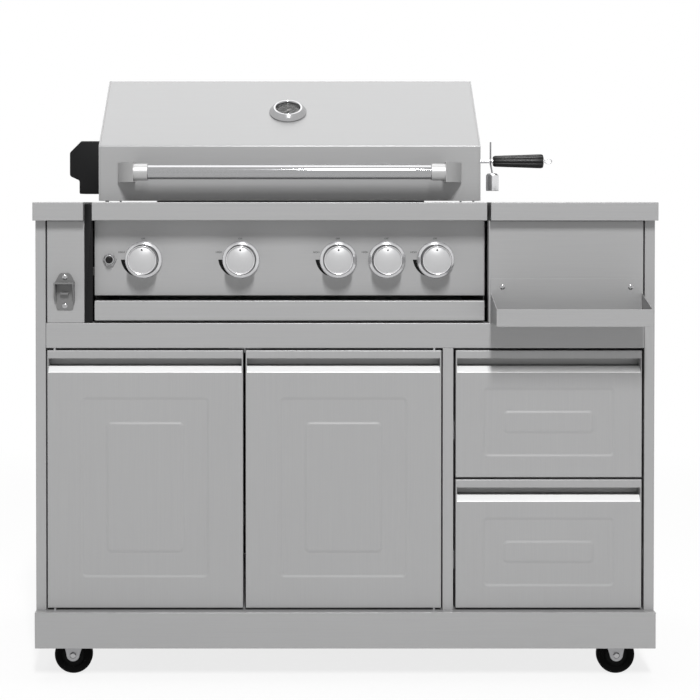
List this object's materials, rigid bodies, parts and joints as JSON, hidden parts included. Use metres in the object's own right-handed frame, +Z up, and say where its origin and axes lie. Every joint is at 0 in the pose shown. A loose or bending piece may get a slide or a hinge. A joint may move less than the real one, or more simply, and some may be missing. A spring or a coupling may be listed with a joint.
{
  "type": "outdoor kitchen island",
  "caption": "Wheeled stainless outdoor kitchen with a hooded gas grill head, rear spit, flat worktops, doors, drawers, drip tray, condiment tray and bottle opener.",
  "frame": {"origin": "on the floor under the middle of the island's box", "axes": "+X along the worktop to the right, +Y from the front to the back, +Z up"},
  "size_m": [1.22, 0.69, 1.188],
  "materials": {
    "stainless": "brushed",
    "chrome": "polished",
    "cast_handle": "satin",
    "cast_opener": "satin",
    "cast_iron": "matte",
    "black_plastic": "matte",
    "button_black": "gloss",
    "glass": "clear",
    "dial_face": "satin",
    "needle_black": "satin",
    "brass": "machined",
    "zinc": "zinc plated",
    "wheel_black": "satin",
    "fire_steel": "heat-dulled"
  },
  "bodies": {
    "cabinet": {"back_panel": "stainless", "base_plinth": "stainless", "bottle_opener": "cast_opener", "burner_tubes": "fire_steel", "caster_mounts": "zinc", "centre_divider": "stainless", "condiment_tray": "stainless", "control_bezels": "chrome", "control_panel": "stainless", "cooking_grates": "cast_iron", "door_pivots": "zinc", "drawer_runners": "zinc", "end_brackets": "zinc", "firebox": "fire_steel", "flame_tamers": "fire_steel", "gas_valves": "brass", "grill_frame": "stainless", "left_front_panel": "stainless", "left_worktop": "stainless", "panel_screws": "chrome", "rear_burner": "fire_steel", "rear_worktop": "stainless", "right_front_panel": "stainless", "right_worktop": "stainless", "rotisserie_motor": "black_plastic", "side_panels": "stainless", "top_rails": "stainless"},
    "hood": {"hood_shell": "stainless", "hood_ends": "stainless", "handle_tube": "chrome", "handle_brackets": "cast_handle", "gauge_case": "chrome", "gauge_dial": "dial_face", "gauge_glass": "glass"},
    "thermometer_needle": {"gauge_needle": "needle_black"},
    "spit": {"spit_rod": "chrome", "spit_handle": "black_plastic", "meat_forks": "chrome", "counterweight": "chrome"},
    "knob_1": {"knob_1": "chrome"},
    "knob_2": {"knob_2": "chrome"},
    "knob_3": {"knob_3": "chrome"},
    "knob_4": {"knob_4": "chrome"},
    "knob_5": {"knob_5": "chrome"},
    "igniter": {"igniter_button": "button_black"},
    "left_door": {"left_door": "stainless"},
    "right_door": {"right_door": "stainless"},
    "upper_drawer": {"upper_drawer_front": "stainless", "upper_drawer_box": "stainless"},
    "lower_drawer": {"lower_drawer_front": "stainless", "lower_drawer_box": "stainless"},
    "drip_drawer": {"drip_tray": "stainless"},
    "fork_front_left": {"caster_fork_front_left": "zinc"},
    "wheel_front_left": {"caster_wheel_front_left": "wheel_black"},
    "fork_front_right": {"caster_fork_front_right": "zinc"},
    "wheel_front_right": {"caster_wheel_front_right": "wheel_black"},
    "fork_rear_left": {"caster_fork_rear_left": "zinc"},
    "wheel_rear_left": {"caster_wheel_rear_left": "wheel_black"},
    "fork_rear_right": {"caster_fork_rear_right": "zinc"},
    "wheel_rear_right": {"caster_wheel_rear_right": "wheel_black"}
  },
  "joints": [
    {"name": "hood_hinge", "type": "hinge", "parent": "cabinet", "child": "hood", "pos_m": [-0.109, 0.204, 0.951], "axis": [-1, 0, 0], "range_deg": [0, 80]},
    {"name": "thermometer_needle_turn", "type": "hinge", "parent": "hood", "child": "thermometer_needle", "pos_m": [-0.113, -0.0865, 1.1175], "axis": [0, -0.563, 0.8265], "range_deg": [-270, 0]},
    {"name": "spit_turn", "type": "hinge", "parent": "cabinet", "child": "spit", "pos_m": [-0.109, 0.035, 1.021], "axis": [1, 0, 0], "continuous": true},
    {"name": "knob_1_turn", "type": "hinge", "parent": "cabinet", "child": "knob_1", "pos_m": [-0.397, -0.235, 0.8215], "axis": [0, -1, 0], "range_deg": [0, 150]},
    {"name": "knob_2_turn", "type": "hinge", "parent": "cabinet", "child": "knob_2", "pos_m": [-0.205, -0.235, 0.8215], "axis": [0, -1, 0], "range_deg": [0, 150]},
    {"name": "knob_3_turn", "type": "hinge", "parent": "cabinet", "child": "knob_3", "pos_m": [-0.013, -0.235, 0.8215], "axis": [0, -1, 0], "range_deg": [0, 150]},
    {"name": "knob_4_turn", "type": "hinge", "parent": "cabinet", "child": "knob_4", "pos_m": [0.083, -0.235, 0.8215], "axis": [0, -1, 0], "range_deg": [0, 90]},
    {"name": "knob_5_turn", "type": "hinge", "parent": "cabinet", "child": "knob_5", "pos_m": [0.179, -0.235, 0.8215], "axis": [0, -1, 0], "range_deg": [0, 150]},
    {"name": "igniter_push", "type": "slide", "parent": "cabinet", "child": "igniter", "axis": [0, 1, 0], "range_m": [0, 0.006], "stiffness_N_per_m": 400},
    {"name": "left_door_hinge", "type": "hinge", "parent": "cabinet", "child": "left_door", "pos_m": [-0.5705, -0.229, 0.39], "axis": [0, 0, -1], "range_deg": [0, 90]},
    {"name": "right_door_hinge", "type": "hinge", "parent": "cabinet", "child": "right_door", "pos_m": [0.175, -0.229, 0.39], "axis": [0, 0, 1], "range_deg": [0, 90]},
    {"name": "upper_drawer_slide", "type": "slide", "parent": "cabinet", "child": "upper_drawer", "axis": [0, -1, 0], "range_m": [0, 0.35]},
    {"name": "lower_drawer_slide", "type": "slide", "parent": "cabinet", "child": "lower_drawer", "axis": [0, -1, 0], "range_m": [0, 0.35]},
    {"name": "drip_tray_slide", "type": "slide", "parent": "cabinet", "child": "drip_drawer", "axis": [0, -1, 0], "range_m": [0, 0.3]},
    {"name": "swivel_front_left", "type": "hinge", "parent": "cabinet", "child": "fork_front_left", "pos_m": [-0.513, -0.195, 0.09], "axis": [0, 0, 1], "continuous": true},
    {"name": "roll_front_left", "type": "hinge", "parent": "fork_front_left", "child": "wheel_front_left", "pos_m": [-0.538, -0.195, 0.0375], "axis": [0, 1, 0], "continuous": true},
    {"name": "swivel_front_right", "type": "hinge", "parent": "cabinet", "child": "fork_front_right", "pos_m": [0.513, -0.195, 0.09], "axis": [0, 0, 1], "continuous": true},
    {"name": "roll_front_right", "type": "hinge", "parent": "fork_front_right", "child": "wheel_front_right", "pos_m": [0.538, -0.195, 0.0375], "axis": [0, 1, 0], "continuous": true},
    {"name": "swivel_rear_left", "type": "hinge", "parent": "cabinet", "child": "fork_rear_left", "pos_m": [-0.513, 0.275, 0.09], "axis": [0, 0, 1], "continuous": true},
    {"name": "roll_rear_left", "type": "hinge", "parent": "fork_rear_left", "child": "wheel_rear_left", "pos_m": [-0.538, 0.275, 0.0375], "axis": [0, 1, 0], "continuous": true},
    {"name": "swivel_rear_right", "type": "hinge", "parent": "cabinet", "child": "fork_rear_right", "pos_m": [0.513, 0.275, 0.09], "axis": [0, 0, 1], "continuous": true},
    {"name": "roll_rear_right", "type": "hinge", "parent": "fork_rear_right", "child": "wheel_rear_right", "pos_m": [0.538, 0.275, 0.0375], "axis": [0, 1, 0], "continuous": true}
  ]
}
